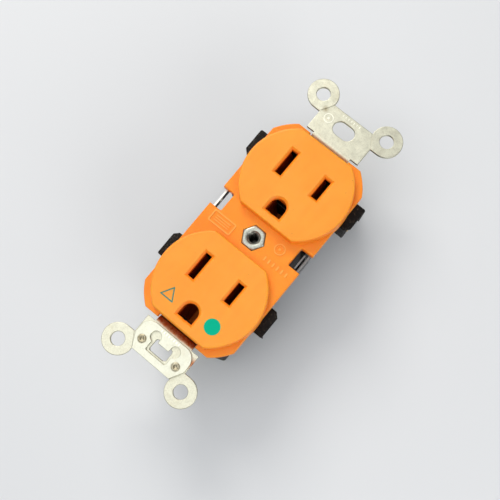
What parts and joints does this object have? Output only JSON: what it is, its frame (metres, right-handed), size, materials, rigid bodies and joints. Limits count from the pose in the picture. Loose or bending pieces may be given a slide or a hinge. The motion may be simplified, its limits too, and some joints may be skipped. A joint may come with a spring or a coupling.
{
  "type": "duplex wall receptacle",
  "caption": "Duplex wall receptacle with two raised three-pin outlets in an orange face, a wrap-around metal mounting strap and screw terminals on a black back body.",
  "frame": {"origin": "centre of the four ear holes, on the ears' rear plane, which lies on the wall", "axes": "+X towards the short hot slots, +Y towards the end away from the ground holes, +Z out of the face"},
  "size_m": [0.0396, 0.1036, 0.0323],
  "materials": {
    "orange_nylon": "satin moulded nylon",
    "black_thermoset": "dull moulded thermoset",
    "plated_steel": "zinc plated sheet, slightly warm",
    "zinc_post": "dull zinc plate",
    "green_inlay": "smooth",
    "insulating_sleeve": "natural nylon",
    "spring_steel": "bright spring steel",
    "green_screw": "green dyed plate",
    "nickel_plate": "nickel plated",
    "clamp_plate": "zinc plated",
    "brass_screw": "bright brass",
    "brass_strip": "rolled brass"
  },
  "bodies": {
    "receptacle": {"back_body": "black_thermoset", "centre_post": "zinc_post", "clip_rivets": "plated_steel", "front_face": "orange_nylon", "green_dot": "green_inlay", "ground_band_lower": "spring_steel", "ground_band_upper": "spring_steel", "ground_contact_lower": "brass_strip", "ground_contact_upper": "brass_strip", "ground_strip": "brass_strip", "hot_bus_bar": "nickel_plate", "hot_contact_lower": "brass_strip", "hot_contact_upper": "brass_strip", "mounting_strap": "plated_steel", "neutral_bus_bar": "nickel_plate", "neutral_contact_lower": "brass_strip", "neutral_contact_upper": "brass_strip", "post_sleeve": "insulating_sleeve", "self_ground_clip": "plated_steel"},
    "hot_clamp_upper": {"hot_clamp_upper": "clamp_plate"},
    "hot_screw_upper": {"hot_screw_upper": "brass_screw"},
    "hot_clamp_lower": {"hot_clamp_lower": "clamp_plate"},
    "hot_screw_lower": {"hot_screw_lower": "brass_screw"},
    "neutral_clamp_upper": {"neutral_clamp_upper": "clamp_plate"},
    "neutral_screw_upper": {"neutral_screw_upper": "nickel_plate"},
    "neutral_clamp_lower": {"neutral_clamp_lower": "clamp_plate"},
    "neutral_screw_lower": {"neutral_screw_lower": "nickel_plate"},
    "ground_clamp": {"ground_clamp": "clamp_plate"},
    "ground_screw": {"ground_screw": "green_screw"}
  },
  "joints": [
    {"name": "hot_upper_clamp_slide", "type": "slide", "parent": "receptacle", "child": "hot_clamp_upper", "axis": [1, 0, 0], "range_m": [0, 0.00238]},
    {"name": "hot_upper_screw_turn", "type": "hinge", "parent": "hot_clamp_upper", "child": "hot_screw_upper", "pos_m": [0.016, 0.02305, -0.0078], "axis": [1, 0, 0], "range_deg": [0, 1080]},
    {"name": "hot_lower_clamp_slide", "type": "slide", "parent": "receptacle", "child": "hot_clamp_lower", "axis": [1, 0, 0], "range_m": [0, 0.00238]},
    {"name": "hot_lower_screw_turn", "type": "hinge", "parent": "hot_clamp_lower", "child": "hot_screw_lower", "pos_m": [0.016, -0.01645, -0.0078], "axis": [1, 0, 0], "range_deg": [0, 1080]},
    {"name": "neutral_upper_clamp_slide", "type": "slide", "parent": "receptacle", "child": "neutral_clamp_upper", "axis": [-1, 0, 0], "range_m": [0, 0.00238]},
    {"name": "neutral_upper_screw_turn", "type": "hinge", "parent": "neutral_clamp_upper", "child": "neutral_screw_upper", "pos_m": [-0.016, 0.02305, -0.0078], "axis": [-1, 0, 0], "range_deg": [0, 1080]},
    {"name": "neutral_lower_clamp_slide", "type": "slide", "parent": "receptacle", "child": "neutral_clamp_lower", "axis": [-1, 0, 0], "range_m": [0, 0.00238]},
    {"name": "neutral_lower_screw_turn", "type": "hinge", "parent": "neutral_clamp_lower", "child": "neutral_screw_lower", "pos_m": [-0.016, -0.01645, -0.0078], "axis": [-1, 0, 0], "range_deg": [0, 1080]},
    {"name": "ground_clamp_slide", "type": "slide", "parent": "receptacle", "child": "ground_clamp", "axis": [0, -1, 0], "range_m": [0, 0.00238]},
    {"name": "ground_screw_turn", "type": "hinge", "parent": "ground_clamp", "child": "ground_screw", "pos_m": [-0.0102, -0.0294, -0.008], "axis": [0, -1, 0], "range_deg": [0, 1080]}
  ],
  "couplings": [
    {"joint": "hot_upper_screw_turn", "follows": "hot_upper_clamp_slide", "rad_per_m": 7915.8},
    {"joint": "hot_lower_screw_turn", "follows": "hot_lower_clamp_slide", "rad_per_m": 7915.8},
    {"joint": "neutral_upper_screw_turn", "follows": "neutral_upper_clamp_slide", "rad_per_m": 7915.8},
    {"joint": "neutral_lower_screw_turn", "follows": "neutral_lower_clamp_slide", "rad_per_m": 7915.8},
    {"joint": "ground_screw_turn", "follows": "ground_clamp_slide", "rad_per_m": 7915.8}
  ]
}
